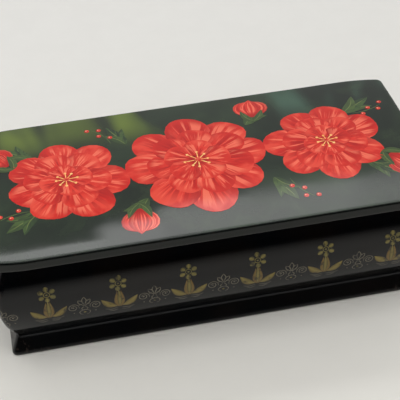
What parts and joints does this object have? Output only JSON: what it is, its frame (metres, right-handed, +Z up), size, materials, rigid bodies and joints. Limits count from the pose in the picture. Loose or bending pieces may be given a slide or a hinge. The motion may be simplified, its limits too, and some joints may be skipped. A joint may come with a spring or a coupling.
{
  "type": "trinket box",
  "caption": "Long lacquered papier-mache trinket box with convex walls, a flared plinth and an overhanging, gently arched lid on brass butt hinges.",
  "frame": {"origin": "on the surface that the box stands on, under the middle of the box", "axes": "+X along the box's length, +Y from the front to the hinge side, +Z up"},
  "size_m": [0.181, 0.0856, 0.0551],
  "materials": {
    "painted_lid": "papier-mache under polished dark green lacquer, painted with red flowers",
    "black_lacquer": "papier-mache under polished black lacquer with fine gold ornament",
    "red_lacquer": "papier-mache under red lacquer",
    "brass": "plain bright brass"
  },
  "bodies": {
    "box_body": {"body_shell": "black_lacquer", "bottom_board": "red_lacquer", "plinth": "black_lacquer", "body_leaf_nails": "brass", "hinge_left_body_leaf": "brass", "hinge_right_body_leaf": "brass", "hinge_left_pin": "brass", "hinge_right_pin": "brass"},
    "lid": {"lid_panel": "painted_lid", "lid_lip_frame": "red_lacquer", "lid_leaf_nails": "brass", "hinge_left_lid_leaf": "brass", "hinge_right_lid_leaf": "brass"}
  },
  "joints": [
    {"name": "lid_hinge", "type": "hinge", "parent": "box_body", "child": "lid", "pos_m": [0, 0.03755, 0.04775], "axis": [-1, 0, 0], "range_deg": [0, 95]}
  ]
}
